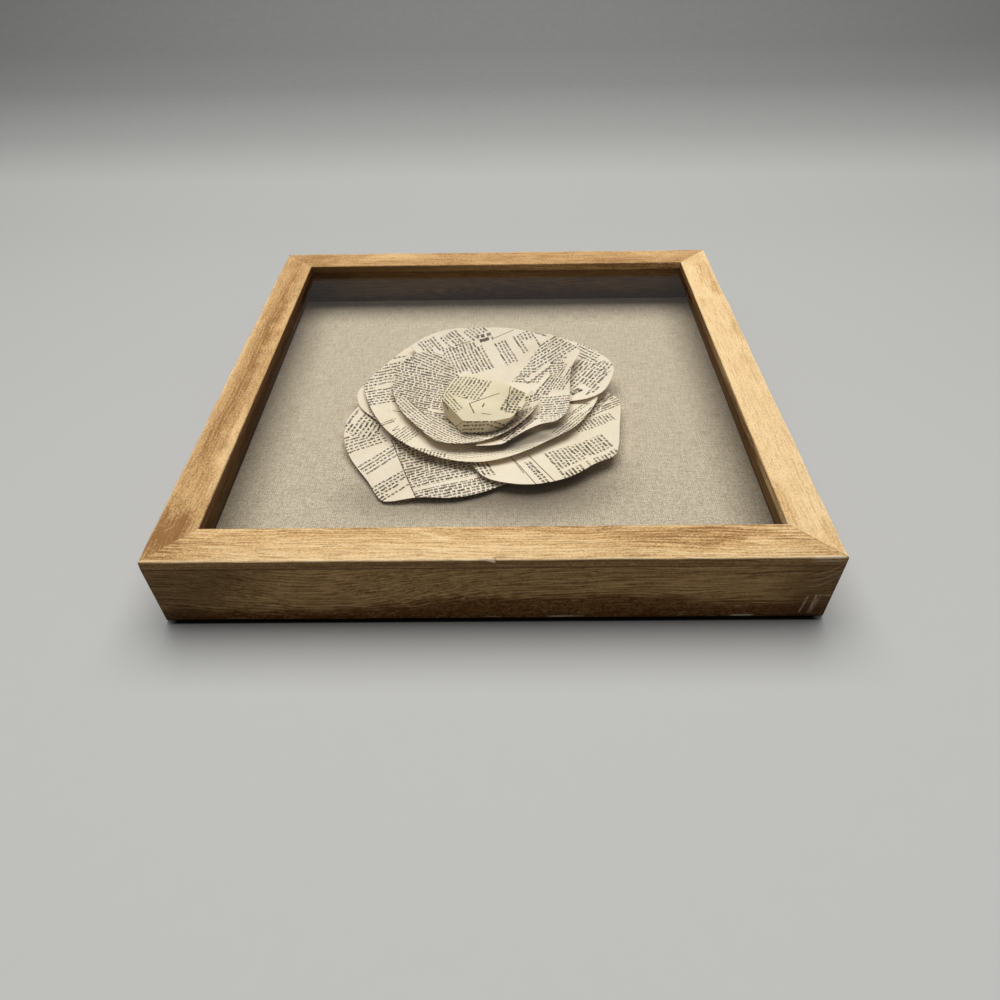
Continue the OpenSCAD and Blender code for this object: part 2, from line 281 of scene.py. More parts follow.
def grain(tree, spot, seed, slope, waves, dip=None):
    """Long streaks, fine wavy lines and pores that run along the rail, with a slope and a dip
    (place along, half length, depth)."""
    drift = tree.streaked(spot, (0.014, 0.04, 0.05), (seed, seed, 0), detail=2.0)
    along, across, up = tree.split(spot)
    sag = waves * 5.0 * (drift - 0.5)
    if dip is not None:
        place, half, depth = dip
        sag = sag + tree.step(abs(along - place), half, 0.0) * depth
    bent = tree.joined(along, across + sag + along * slope, up + sag + along * slope)
    streaks = tree.streaked(bent, (0.010, 0.28, 0.28), (seed, 0, 0), detail=4.0, roughness=0.6)
    fine = tree.streaked(bent, (0.035, 0.95, 0.95), (seed, 0, 0), detail=3.0, roughness=0.75)
    rings = ((across + up + sag + along * slope) * 3.4 + 17.0 * streaks).maths("SINE")
    lines = 0.55 * tree.step(fine, 0.37, 0.63) + 0.225 * (rings + 1.0)
    pores = tree.streaked(bent, (0.09, 1.3, 1.3), (seed, 0, 0), detail=2.0)
    return streaks, lines, tree.step(pores, 0.57, 0.67)


def mottles(tree, spot, seed):
    """Blotches of a few millimetres and a fine speckle, both running across the grain."""
    blotch = tree.streaked(
        spot, (0.085, 0.15, 0.15), (seed * 5, seed, 0), detail=4.0, roughness=0.62
    )
    speckle = tree.streaked(spot, (0.80, 1.05, 1.05), (seed, 3, 0), detail=3.0, roughness=0.8)
    return blotch, tree.step(speckle, 0.34, 0.66)


def face_finish(name, turned, seed, base, lined, patch_list, inner_base, inner_tone, split=False):
    """Honey-stained strip: worn pale arrises, burnished patches, pale patches that are partly wear
    and partly painted sheen, dark sides and fine mitre lines. base is the tone of the stained
    wood, lined the strength of its grain lines and inner_base the colour of its inner side.
    Honey glows there by inner_tone, towards the left or front end, or the right end where that
    is below 0. split adds the front strip's chip and splits."""
    material, tree = new_finish(name)
    spot, along, across, up = rail_frame(tree, turned)
    streaks, lines, pores = grain(tree, spot, seed, 0.012, 1.6)
    blotch, speckle = mottles(tree, spot, seed)
    out = frame_edge - abs(across)

    ragged = 9.0 * (blotch - 0.5)
    place = tree.joined(along + 3.0 * ragged, out + ragged)
    # Burnished patches darken the top; pale ones, below 0, are partly wear and partly painted sheen
    burnish_and_sheen = oval_patches(tree, place, patch_list)
    tone = base - burnish_and_sheen + 0.55 * (blotch - 0.5) + 0.46 * (speckle - 0.5)
    tone = tone + (lined + 0.9 * burnish_and_sheen) * 0.62 * (lines - 0.5) + 0.6 * lined * (streaks - 0.5)
    honey = tree.ramp(HONEY, tone)
    russet = tree.step(burnish_and_sheen, 0.15, 0.7) * (0.10 + 0.20 * (1.0 - speckle))
    top = tree.mix(honey, RUSSET, russet)
    top = tree.mix(top, BARK, pores * (0.10 + 0.30 * lined))

    mitre = abs(abs(along) - abs(across)) * math.sqrt(0.5)
    worn = tree.step(blotch + 0.1 * (speckle - 0.5), 0.44, 0.56)
    joint = tree.step(mitre, 0.40, 0.08) * (0.2 + 0.6 * worn)
    joint = joint * (0.25 + 0.75 * tree.step(along, -60.0, 60.0))
    top = tree.mix(top, BARK, joint)

    leaning = tree.stretched(spot, (1.0, 1.0, 1.0), turn=0.8 if turned else -0.8)
    scratch = tree.streaked(leaning, (0.10, 1.3, 0.3), (seed, 2, 0), detail=2.0, roughness=0.6)
    bruised = 0.12 + 0.45 * tree.step(burnish_and_sheen, 0.22, 0.5)
    top = tree.mix(top, SCRATCH, tree.step(scratch, 0.60, 0.72) * bruised)

    walnut = tree.ramp(WALNUT, 0.50 + 0.60 * (lines - 0.5) + 0.7 * (streaks - 0.5))
    walnut = tree.mix(walnut, LIP_RED, 0.30 + 0.7 * (speckle - 0.5))
    side = tree.step(up, face_top - 0.45, face_top - 0.85)
    seam = tree.step(up, face_bottom + 0.7, face_bottom + 0.15)
    inside = tree.step(out, strip_width - 0.9, strip_width - 0.3)
    glow = tree.step(streaks + 0.16 * (lines - 0.5), 0.38, 0.60)
    if inner_tone < 0.0:
        glow = (0.6 + 0.4 * glow) * tree.step(along, -110.0, 60.0)
    else:
        glow = glow * tree.step(along, 90.0, -90.0)
    inner = tree.mix(inner_base, honey, glow * abs(inner_tone))
    walls = tree.mix(walnut, inner, inside)
    walls = tree.mix(walls, CHAR, seam * (0.2 + 0.5 * (streaks - 0.3)))
    colour = tree.mix(top, walls, side)

    rough = tree.streaked(spot, (0.06, 0.3, 0.3), (seed, 9, 0), detail=4.0)
    arris = tree.step(up, face_top - 0.75, face_top - 0.35) * tree.step(out, 1.7, 0.25)
    arris = arris * tree.step(rough, 0.34, 0.56)
    colour = tree.mix(colour, WORN_ARRIS, arris * 0.42)
    if split:
        wavy = 0.5 * (streaks - 0.5)
        at_split = tree.step(abs(along - SPLIT_AT), 9.0, 4.0) * tree.step(out, 1.4, 0.8)
        upper = tree.step(abs(up - face_top + 0.6 + wavy), 0.8, 0.3)
        lower = tree.step(abs(up - face_top + 2.4 + wavy), 0.5, 0.2) * 0.35
        colour = tree.mix(colour, RAW, at_split * (upper + lower) * 0.6)
        from_chip = along - CHIP_AT
        low_end = face_top - 1.5 - 0.20 * from_chip + 1.5 * (blotch - 0.5)
        sliver = tree.step(abs(from_chip), 3.6, 3.0) * tree.step(up, low_end, low_end + 0.4)
        sliver = sliver * tree.step(up, face_top - 0.2, face_top - 0.6) * (0.8 + 0.2 * speckle)
        notch = tree.step(abs(from_chip - 1.3), 2.7, 2.0) * tree.step(out, 1.6, 0.9)
        notch = notch * (1.0 - sliver)
        colour = tree.mix(colour, BARK, notch * (0.3 + 0.5 * speckle))
        colour = tree.mix(colour, FRESH_CHIP, sliver * tree.step(out, 2.0, 1.5))

    surface(
        tree,
        Base_Color=colour,
        Roughness=0.64 - 0.14 * tree.step(burnish_and_sheen, 0.0, 0.8) + 0.06 * (lines - 0.5),
        Specular_IOR_Level=0.12,
        Normal=tree.bump(0.10 * lines + 0.1 * streaks - 0.12 * pores + 0.05 * speckle, 1.0, 0.7),
    )
    return material


def board_finish(name, turned, seed, slope, dip, inner_base, marks=False):
    """Umber-stained board: reddish dark foot, dark ends, long wavy pale grain. inner_base is
    the colour inside the box, and marks adds the scuffs and pale marks of the front board."""
    material, tree = new_finish(name)
    spot, along, across, up = rail_frame(tree, turned)
    streaks, lines, pores = grain(tree, spot, seed, slope, 1.8, dip)
    blotch, speckle = mottles(tree, spot, seed)
    tone = 0.56 + 0.75 * (streaks - 0.5) + 0.80 * (lines - 0.5) + 0.34 * (speckle - 0.5)
    walnut = tree.ramp(WALNUT, tone)

    cloud = 14.0 * (blotch - 0.5) + 4.0 * (lines - 0.5)
    rise = 7.5 + 8.5 * tree.step(along, -75.0, 0.0) - 5.0 * tree.step(along, 55.0, 110.0)
    foot = tree.step(up + cloud - rise, 4.5, -3.5)
    left_end = tree.step(along - 0.9 * up + cloud, 42.0 - frame_edge, 6.0 - frame_edge)
    right_end = tree.step(along + cloud, frame_edge - 34.0, frame_edge - 8.0)
    foot_red = tree.mix(walnut, FOOT_RED, foot * (0.74 + 0.75 * (speckle - 0.5)))
    colour = tree.mix(foot_red, CHAR, left_end * 0.55)
    colour = tree.mix(colour, CHAR, right_end * 0.6)
    groove = tree.step(up, face_bottom - 0.7, face_bottom - 0.1)
    colour = tree.mix(colour, CHAR, groove * 0.7)
    colour = tree.mix(colour, CHAR, pores * 0.4)

    # Painted contact shadow: a near-black band along the lowest millimetre and a half of the board
    foot_shadow = tree.step(up + 1.2 * (blotch - 0.5), 1.4, 0.5) * tree.step(up, 0.01, 0.06)
    colour = tree.mix(colour, FOOT_SHADOW, foot_shadow)
    scuff = tree.streaked(spot, (0.04, 0.4, 0.6), (seed, 2, 0), detail=4.0)
    low_arris = tree.step(abs(up - 1.6), 0.7, 0.3) * tree.step(scuff, 0.56, 0.66)
    colour = tree.mix(colour, RAW, low_arris * 0.30)
    if marks:
        rough = tree.step(speckle, 0.2, 0.8)
        height = up - MARK_MIDDLE
        lean = MARK_LEAN * height
        line = tree.step(abs(along - MARK_LINE_AT - lean), 0.7, 0.3)
        line = line * tree.step(abs(height), 6.4, 5.2)
        band = tree.step(abs(along - MARK_BAND_AT - lean), 1.5, 0.8)
        band = band * tree.step(abs(height), 6.6, 5.6)
        cap = tree.step(abs(up - MARK_TOP), 0.9, 0.3)
        cap = cap * tree.step(abs(along - MARK_CAP_AT), 4.0, 3.0)
        pale = tree.maths("MAXIMUM", line * 0.5, tree.maths("MAXIMUM", band * 0.32, cap * 0.38))
        colour = tree.mix(colour, PALE_MARK, pale * (0.25 + 0.75 * rough))
        beside = along - COMB_AT
        curve = up - COMB_HEIGHT - 0.045 * beside * beside
        combed = tree.step(abs((curve / 4.0).maths("FRACT") - 0.5), 0.16, 0.04)
        combed = combed * tree.step(abs(curve - 6.0), 7.0, 6.0) * tree.step(beside, -3.0, 4.0)
        colour = tree.mix(colour, COMBED, combed * 0.30)
        first = tree.step(abs(along - FOOT_MARKS_AT[0]), 10.0, 4.0)
        second = tree.step(abs(along - FOOT_MARKS_AT[1]), 6.5, 3.0)
        low = tree.maths("MAXIMUM", first, second) * tree.step(abs(up - 1.7), 0.7, 0.3)
        colour = tree.mix(colour, RAW, low * 0.5 * tree.step(scuff, 0.38, 0.52))
    within = tree.step(abs(across), board_inside + 0.3, board_inside - 0.2)
    colour = tree.mix(colour, inner_base, within * 0.92)

    surface(
        tree,
        Base_Color=colour,
        Roughness=0.68 - 0.08 * foot + 0.08 * (lines - 0.5),
        Specular_IOR_Level=0.06,
        Normal=tree.bump(0.14 * lines + 0.12 * streaks - 0.14 * pores + 0.06 * speckle, 1.0, 0.7),
    )
    return material


# -------------------- paper and print

INK = (0.060, 0.041, 0.023)
# Brown of the painted shade on the linen and the petals
SHADE = (0.13, 0.10, 0.072)
CREAM = [(0.0, (0.78, 0.645, 0.475)), (0.5, (0.925, 0.797, 0.625)), (1.0, (0.975, 0.87, 0.715))]
BUFF = [(0.0, (0.79, 0.655, 0.48)), (0.5, (0.925, 0.797, 0.61)), (1.0, (0.975, 0.87, 0.70))]
YELLOWED = [(0.0, (0.68, 0.555, 0.355)), (0.5, (0.86, 0.735, 0.51)), (1.0, (0.94, 0.83, 0.63))]
# Length of a word with its gap, as a share of the rows' pitch
WORD = 1.15
# How far the bud's print slides for each mm down its sides
PRINT_LEAN = 0.8


def turned_page(tree, given):
    """Millimetres along a pattern's own line and across it, from its middle."""
    turned = tree.node(
        "ShaderNodeVectorRotate",
        {"rotation_type": "Z_AXIS", "invert": True},
        {"Vector": given["Page"], "Center": given["Centre"], "Angle": given["Angle"]},
    )
    u, v, _ = tree.split(tree.vector_maths("SUBTRACT", turned, given["Centre"]))
    return u, v


def chance(tree, *values):
    """A fixed random number for each set of whole values."""
    return tree.node(
        "ShaderNodeTexWhiteNoise", {"noise_dimensions": "3D"}, {"Vector": tree.joined(*values)}
    )


def rows_pattern():
    """Rows of dashes in a turned rectangle, with word gaps, ragged ends and short last rows.
    Area is 1 all over the rectangle, so that a block can clear what lies under it."""
    group, tree, given = new_pattern(
        "Rows of dashes",
        ("Page", "Centre"),
        ("Angle", "Width", "Height", "Pitch", "Weight", "Seed"),
        ("Ink", "Area"),
    )
    u, v = turned_page(tree, given)
    seed = given["Seed"]
    v = v + 0.9 * (tree.grains(tree.joined(u * 0.06, v * 0.03, seed), detail=2.0) - 0.5)
    line = v / given["Pitch"]
    row = line.maths("FLOOR")
    within = line.maths("FRACT") - 0.5

    start = chance(tree, row, seed, 0.0)
    spot = u / (given["Pitch"] * WORD) + 20.0 * start
    word = spot.maths("FLOOR")
    share = spot.maths("FRACT")
    size = chance(tree, word, row, seed)
    tied = chance(tree, row, word, seed + 3.1)
    gap = tree.step(share, 0.80 - 0.26 * size, 0.88 - 0.26 * size) * (tied < 0.72)

    rough = tree.grains(tree.joined(u * 1.25, row * 5.0, seed), detail=2.0, roughness=0.7)
    half = given["Weight"] * (0.23 + 0.85 * (rough - 0.5))
    lift = 0.45 * (rough - 0.5) + 0.18 * (tied - 0.5)
    thick = tree.step(abs(within + lift), half + 0.06, half - 0.06)

    half_width = given["Width"] / 2
    short = (chance(tree, row, seed, 7.3) > 0.84) * start * 0.7
    right = half_width * (1.0 - 2.0 * short) - 1.2 * start > u
    left = u + half_width > 0.0
    tall = given["Height"] / 2 > abs((row + 0.5) * given["Pitch"])
    ink = (1.0 - gap) * thick * right * left * tall * (given["Weight"] > 0.01)
    area = (half_width > abs(u)) * (given["Height"] / 2 > abs(v))
    tree.node("NodeGroupOutput", {}, {"Ink": ink * (0.74 + 0.30 * size), "Area": area})
    return group


def rule_pattern():
    """A thin printed line of a given length, a little broken, and a fold along the same line."""
    group, tree, given = new_pattern(
        "Rule", ("Page", "Centre"), ("Angle", "Width", "Thickness"), ("Ink", "Fold")
    )
    u, v = turned_page(tree, given)
    rough = tree.grains(tree.joined(u * 0.9, v * 0.2), detail=2.0)
    half = given["Thickness"] / 2
    line = tree.step(abs(v), half + 0.12, half - 0.06)
    ends = given["Width"] / 2 > abs(u)
    fold = tree.maths("MAXIMUM", 1.0 - abs(v) / given["Thickness"], 0.0)
    fold = fold * tree.step(abs(u), given["Width"] / 2, given["Width"] / 2 - 4.0)
    tree.node(
        "NodeGroupOutput", {}, {"Ink": line * ends * tree.step(rough, 0.26, 0.40), "Fold": fold}
    )
    return group


def printed(tree, group, page, line, out=0, **sockets):
    """One pattern along a line from point to point, turned with it and as long as it."""
    x0, y0, x1, y1 = line
    place = {
        "Page": page,
        "Centre": ((x0 + x1) / 2, (y0 + y1) / 2, 0.0),
        "Angle": math.atan2(y1 - y0, x1 - x0),
        "Width": math.hypot(x1 - x0, y1 - y0),
    }
    return tree.node("ShaderNodeGroup", {"node_tree": group}, {**place, **sockets}, out=out)


def paper_finish(name, seed, blocks, rules, folds, tones, shades=(), leaning=False):
    """Uncoated printed paper, laid out in plan, in millimetres. A block is rows of dashes along
    the line from (x0, y0) to (x1, y1), then its height, pitch and weight; a later block clears
    what it covers. Rules and folds are lines from point to point, then their thickness. Shades
    are soft ovals of painted shade, where the petals above shadow the sheet. leaning slides the
    print with the height, so that it isn't drawn out down the bud's steep sides."""
    material, tree = new_finish(name)
    spot = millimetres(tree)
    x, y, up = tree.split(spot)
    page = tree.joined(x, y + PRINT_LEAN * (up - bud_crown)) if leaning else spot
    ink = None
    for number, (*line, height, pitch, weight) in enumerate(blocks):
        sockets = {"Height": height, "Pitch": pitch, "Weight": weight}
        part = printed(tree, rows_group, page, line, Seed=float(seed * 10 + number), **sockets)
        ink = part if ink is None else ink * (1.0 - part.other("Area")) + part
    for *line, thickness in rules:
        part = printed(tree, rule_group, page, line, Thickness=thickness)
        ink = tree.maths("MAXIMUM", ink, part)
    crease = None
    for *line, thickness in folds:
        part = printed(tree, rule_group, page, line, out="Fold", Thickness=thickness)
        crease = part if crease is None else tree.maths("MAXIMUM", crease, part)

    age = tree.streaked(spot, (0.035, 0.035, 0.035), (seed, 0, 0), detail=4.0)
    fibres = tree.streaked(spot, (0.8, 0.8, 0.8), detail=4.0, roughness=0.7)
    tone = 0.5 + 1.3 * (age - 0.5) + 0.55 * (fibres - 0.5)
    paper = tree.ramp(tones, tone)
    faded = tree.streaked(spot, (0.3, 0.3, 0.3), (0, seed, 0))
    worn = 0.95 + 0.9 * (faded - 0.5)
    colour = tree.mix(paper, INK, tree.maths("MINIMUM", ink * worn, 0.95))
    # Painted shade where the petals above shadow this sheet
    if shades:
        depth = oval_patches(tree, tree.joined(x, y), shades)
        colour = tree.mix(colour, SHADE, tree.maths("MINIMUM", depth, 0.8))
    height = 0.05 * fibres
    if crease is not None:
        height = height - 0.55 * crease
    surface(
        tree,
        Base_Color=colour,
        Roughness=0.86 - 0.08 * fibres,
        Specular_IOR_Level=0.3,
        Normal=tree.bump(height, 1.0, 0.7),
    )
    return material


# -------------------- other finishes

LINEN = [(0.1, (0.43, 0.34, 0.238)), (0.5, (0.645, 0.535, 0.392)), (0.9, (0.80, 0.695, 0.545))]
SLUB = (0.76, 0.68, 0.55)
FLECK = (0.19, 0.135, 0.085)
HARDBOARD = [
    (0.3, (0.105, 0.055, 0.026)),
    (0.55, (0.215, 0.122, 0.062)),
    (0.8, (0.34, 0.21, 0.115)),
]
ZINC = [(0.3, (0.36, 0.35, 0.33)), (0.7, (0.62, 0.62, 0.61))]
# Painted shadow where the flower overhangs the linen: soft ovals
# (x, y, half length, half width, amount)
OVERHANG_SHADOW = [(16, -62, 74, 46, 0.85), (-46, -74, 54, 28, 0.42)]


def linen_finish():
    """Plain weave of uneven threads, flecked light and dark, with a few slubs, and a painted
    shadow where the flower overhangs it."""
    material, tree = new_finish("linen weave")
    spot = millimetres(tree)
    x, y, _ = tree.split(spot)
    thread = 1.05
    wander = tree.streaked(spot, (0.05, 0.05, 0.05), detail=2.0)
    u = (x + 1.2 * wander) / thread
    v = (y + 1.2 * wander) / thread
    warp = (u * math.pi).maths("SINE")
    weft = (v * math.pi).maths("SINE")
    over = (u.maths("FLOOR") + v.maths("FLOOR")).maths("FLOORED_MODULO", 2.0)
    crowns = abs(warp) * over + abs(weft) * (1.0 - over)

    long_x = tree.streaked(spot, (0.11, 0.95, 1.0), detail=3.0, roughness=0.6)
    long_y = tree.streaked(spot, (0.95, 0.11, 1.0), (7, 3, 0), detail=3.0, roughness=0.6)
    slubs = tree.maths("MAXIMUM", tree.step(long_x, 0.64, 0.74), tree.step(long_y, 0.65, 0.75))
    flecks = tree.streaked(spot, (0.8, 1.2, 1.0), (2, 5, 0), detail=3.0, roughness=0.7)
    salt = tree.streaked(spot, (1.5, 1.9, 1.9), detail=2.0, roughness=0.85)
    near = 0.28 + 0.72 * tree.step(y, 60.0, -110.0)
    grain_tone = near * (tree.step(salt, 0.38, 0.62) - 0.5)
    tone = 0.5 + 1.1 * (long_x - 0.5) + 1.0 * (long_y - 0.5) + grain_tone + 0.7 * (crowns - 0.62)
    colour = tree.ramp(LINEN, tone)
    colour = tree.mix(colour, SLUB, slubs * 0.2)
    colour = tree.mix(colour, FLECK, tree.step(flecks, 0.64, 0.74) * 0.4)
    # Painted shadow of the flower on the linen
    shade = tree.maths("MINIMUM", oval_patches(tree, tree.joined(x, y), OVERHANG_SHADOW), 0.78)
    colour = tree.mix(colour, SHADE, shade)
    surface(
        tree,
        Base_Color=colour,
        Roughness=0.92,
        Sheen_Weight=0.12,
        Normal=tree.bump(crowns + 0.8 * slubs, 0.12, 0.7),
    )
    return material


def glass_finish():
    """Clear float glass that lets lamps and bounced light straight through."""
    material, tree = new_finish("clear glass")
    path = tree.node("ShaderNodeLightPath", out="Is Shadow Ray")
    spot = millimetres(tree)
    dust = tree.streaked(spot, (0.02, 0.02, 0.02), detail=5.0, roughness=0.7)
    sockets = {
        "Base Color": (0.985, 0.992, 0.988),
        "Transmission Weight": 1.0,
        "IOR": 1.5,
        "Roughness": 0.01 + 0.012 * dust,
    }
    glass = tree.node("ShaderNodeBsdfPrincipled", {}, sockets)
    clear = tree.node("ShaderNodeBsdfTransparent", {}, {"Color": (0.97, 0.98, 0.975)})
    passes = tree.maths("MAXIMUM", path, path.other("Is Diffuse Ray"))
    shader = tree.node("ShaderNodeMixShader", {}, {0: passes, 1: glass, 2: clear})
    tree.node("ShaderNodeOutputMaterial", {}, {"Surface": shader})
    return material


def steel_finish():
    """Zinc-plated sheet steel, finely brushed and a little dull."""
    material, tree = new_finish("zinc-plated steel")
    spot = millimetres(tree)
    brush = tree.streaked(spot, (0.4, 9.0, 9.0), detail=3.0)
    bloom = tree.streaked(spot, (0.5, 0.5, 0.5), detail=4.0, roughness=0.7)
    surface(
        tree,
        Base_Color=tree.ramp(ZINC, 0.6 * brush + 0.45 * bloom),
        Metallic=1.0,
        Roughness=0.30 + 0.25 * bloom,
        Normal=tree.bump(brush, 0.03, 0.5),
    )
    return material


def hardboard_finish():
    """Raw hardboard: brown pressed fibre with the mesh side outwards."""
    material, tree = new_finish("raw hardboard")
    spot = millimetres(tree)
    x, y, _ = tree.split(spot)
    mesh = abs((x * 1.6).maths("SINE")) + abs((y * 1.6).maths("SINE"))
    fibre = tree.streaked(spot, (0.5, 0.5, 0.5), detail=6.0, roughness=0.75)
    cloud = tree.streaked(spot, (0.02, 0.02, 0.02), detail=3.0)
    surface(
        tree,
        Base_Color=tree.ramp(HARDBOARD, 0.55 * fibre + 0.35 * cloud + 0.06 * mesh),
        Roughness=0.72 + 0.1 * fibre,
        Normal=tree.bump(mesh * 0.5 + fibre, 0.25, 0.6),
    )
    return material


def plain_finish(name, dark, light, scale, roughness, depth):
    """Fine mottled stock, for card, foam and filler."""
    material, tree = new_finish(name)
    spot = millimetres(tree)
    speck = tree.streaked(spot, (scale, scale, scale), detail=5.0, roughness=0.7)
    surface(
        tree,
        Base_Color=tree.ramp([(0.3, dark), (0.7, light)], speck),
        Roughness=roughness + 0.1 * speck,
        Normal=tree.bump(speck, depth, 0.6),
    )
    return material


# -------------------- shapes

RAIL_STEP = 3.0 * MM
# How far the wear reaches from an arris
WORN_REACH = 1.4 * MM
# Corners of a sheet's outline stay sharp where they turn more than this, in degrees
TIP_TURN = 21.0


def add_object(name, data):
    thing = bpy.data.objects.new(name, data)
    bpy.context.scene.collection.objects.link(thing)
    return thing


def merged_shape(node):
    """A bmesh of the CAD node's shape, its loose triangles joined into clean faces."""
    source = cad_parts[node].data
    shape = bmesh.new()
    places = [shape.verts.new(vertex.co) for vertex in source.vertices]
    for face in source.polygons:
        shape.faces.new([places[index] for index in face.vertices])
    bmesh.ops.remove_doubles(shape, verts=shape.verts, dist=2e-6)
    return shape


def settle(shape, name):
    mesh = bpy.data.meshes.new(name)
    shape.normal_update()
    shape.to_mesh(mesh)
    shape.free()
    return mesh


def apply_all(piece):
    """Gives the piece its modifiers' result as a plain mesh."""
    bpy.context.view_layer.update()
    done = piece.evaluated_get(bpy.context.evaluated_depsgraph_get())
    mesh = bpy.data.meshes.new_from_object(done)
    piece.modifiers.clear()
    piece.data = mesh


def smooth(piece, angle):
    piece.data.shade_smooth()
    piece.data.set_sharp_from_angle(angle=math.radians(angle))


def hand_on(piece, material, node):
    """Gives the piece its finish and puts it in the place of its CAD node."""
    piece.data.materials.clear()
    piece.data.materials.append(material)
    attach(piece, "root")
    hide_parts(node)


def worn_rail(node, name, axis, arris, wander, chip=None, chamfer=None):
    """A rail with softened, slightly uneven arrises. axis is 0 where it runs along X, 1 along Y.
    chip is (place along, half length, depth) and chamfer, round the foot, is (height, depth),
    all in mm."""
    shape = merged_shape(node)
    bmesh.ops.dissolve_limit(
        shape, angle_limit=math.radians(1), verts=shape.verts, edges=shape.edges
    )
    low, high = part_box(node)
    cuts = []
    place = low[axis] + RAIL_STEP
    while place < high[axis] - RAIL_STEP / 2:
        cuts.append((axis, place))
        place += RAIL_STEP
    if chamfer is not None:
        cuts.append((2, chamfer[0] * MM))
    for along, place in cuts:
        direction = Vector([float(k == along) for k in range(3)])
        bmesh.ops.bisect_plane(
            shape,
            geom=shape.verts[:] + shape.edges[:] + shape.faces[:],
            plane_co=direction * place,
            plane_no=direction,
            dist=1e-7,
        )
    weights = shape.edges.layers.float.new("bevel_weight_edge")
    for edge in shape.edges:
        way = edge.verts[1].co - edge.verts[0].co
        if abs(way[axis]) > 0.99 * way.length and edge.calc_face_angle(0.0) > math.radians(40):
            at_joint = abs(edge.verts[0].co.z - face_low.z) < 0.2 * MM
            edge[weights] = 0.3 if at_joint else 1.0
    piece = add_object(name, settle(shape, name))
    bevel = piece.modifiers.new("arris", "BEVEL")
    bevel.width = arris * MM
    bevel.segments = 3
    bevel.limit_method = "WEIGHT"
    bevel.use_clamp_overlap = True
    apply_all(piece)
    across = 1 - axis
    reach = -face_low[across]
    for vertex in piece.data.vertices:
        place = vertex.co
        out = reach - abs(place[across])
        near = max(0.0, 1.0 - out / WORN_REACH)
        high_up = max(0.0, 1.0 - (face_high.z - place.z) / WORN_REACH)
        rough = noise.noise(Vector((place[axis] * 60, place[across] * 3, place.z * 3)))
        depth = max(0.0, wander * MM * (0.5 + rough) * near * high_up)
        fall = depth * 0.6
        if chip is not None:
            centre, half, deep = chip
            share = max(0.0, 1.0 - abs(place[axis] - centre * MM) / (half * MM))
            cut = deep * MM * min(1.0, share * 2.2) * near * high_up
            depth += cut
            fall += cut * 0.6
        if chamfer is not None and out < 2 * MM:
            depth += max(0.0, 1.0 - place.z / (chamfer[0] * MM)) * chamfer[1] * MM
        place[across] -= math.copysign(depth, place[across])
        place.z -= fall
        place[axis] = max(-abs(place[across]), min(abs(place[across]), place[axis]))
    smooth(piece, 30)
    return piece


def paper_tree():
    """Geometry nodes that round a sheet of paper, keep its tips sharp and crinkle it softly."""
    inputs = [
        ("Geometry", "Geometry"),
        ("Level", "Int"),
        ("Crease angle", "Float"),
        ("Crinkle", "Float"),
        ("Crinkle size", "Float"),
        ("Seed", "Float"),
        ("Finish", "Material"),
    ]
    group = new_group("Paper sheet", "GeometryNodeTree", inputs, [("Geometry", "Geometry")])
    tree = Tree(group, "GeometryNode")
    given = tree.node("NodeGroupInput")
    angle = tree.node("InputMeshEdgeAngle")
    tips = tree.node("InputNamedAttribute", {"data_type": "FLOAT"}, {"Name": "tip"})
    rounded = tree.node(
        "SubdivisionSurface",
        {},
        {
            "Mesh": given.other("Geometry"),
            "Level": given.other("Level"),
            "Edge Crease": angle > given.other("Crease angle"),
            "Vertex Crease": tips,
        },
    )
    place = tree.node("InputPosition")
    flat = tree.vector_maths("MULTIPLY", place, (1.0, 1.0, 0.0))
    moved = tree.vector_maths("ADD", flat, tree.joined(given.other("Seed"), 0.0))
    waves = tree.node(
        "ShaderNodeTexNoise",
        {},
        {"Vector": moved, "Scale": 1.0 / given.other("Crinkle size"), "Detail": 2.0},
    )
    lift = (waves - 0.5) * given.other("Crinkle")
    crinkled = tree.node(
        "SetPosition", {}, {"Geometry": rounded, "Offset": tree.joined(0.0, 0.0, lift)}
    )
    whole = tree.node("RealizeInstances", {}, {"Geometry": crinkled})
    coloured = tree.node("SetMaterial", {}, {"Geometry": whole, "Material": given.other("Finish")})
    tree.node("NodeGroupOutput", {}, {"Geometry": coloured})
    return group


def mark_tips(mesh, shape):
    """Marks the corners of the sheet's outline that stay sharp."""
    tips = mesh.attributes.new("tip", "FLOAT", "POINT")
    for vertex in shape.verts:
        rim = [edge for edge in vertex.link_edges if edge.calc_face_angle(0.0) > math.radians(50)]
        ways = [(edge.other_vert(vertex).co - vertex.co).normalized() for edge in rim]
        ways = [way for way in ways if abs(way.z) < 0.8]
        if len(ways) == 2:
            turn = math.degrees(math.pi - ways[0].angle(ways[1]))
            tips.data[vertex.index].value = float(turn > TIP_TURN)


def paper_sheet(node, name, material, crinkle=0.35, crease=50.0):
    """A finer copy of a paper solid. crinkle is how high it waves, in mm, and crease the angle
    from which an edge stays sharp, in degrees."""
    shape = merged_shape(node)
    bmesh.ops.join_triangles(
        shape,
        faces=shape.faces,
        angle_face_threshold=math.radians(30),
        angle_shape_threshold=math.radians(60),
    )
    shape.verts.index_update()
    mesh = bpy.data.meshes.new(name)
    shape.normal_update()
    shape.to_mesh(mesh)
    mark_tips(mesh, shape)
    shape.free()
    piece = add_object(name, mesh)
    modifier = piece.modifiers.new("paper", "NODES")
    modifier.node_group = paper_group
    values = {
        "Level": 2,
        "Crease angle": math.radians(crease),
        "Crinkle": crinkle * MM,
        "Crinkle size": 11.0 * MM,
        "Seed": 0.4,
        "Finish": material,
    }
    for item in paper_group.interface.items_tree:
        if item.name in values:
            modifier[item.identifier] = values[item.name]
    apply_all(piece)
    hand_on(piece, material, node)
    smooth(piece, min(crease + 8.0, 50.0))


# -------------------- frame

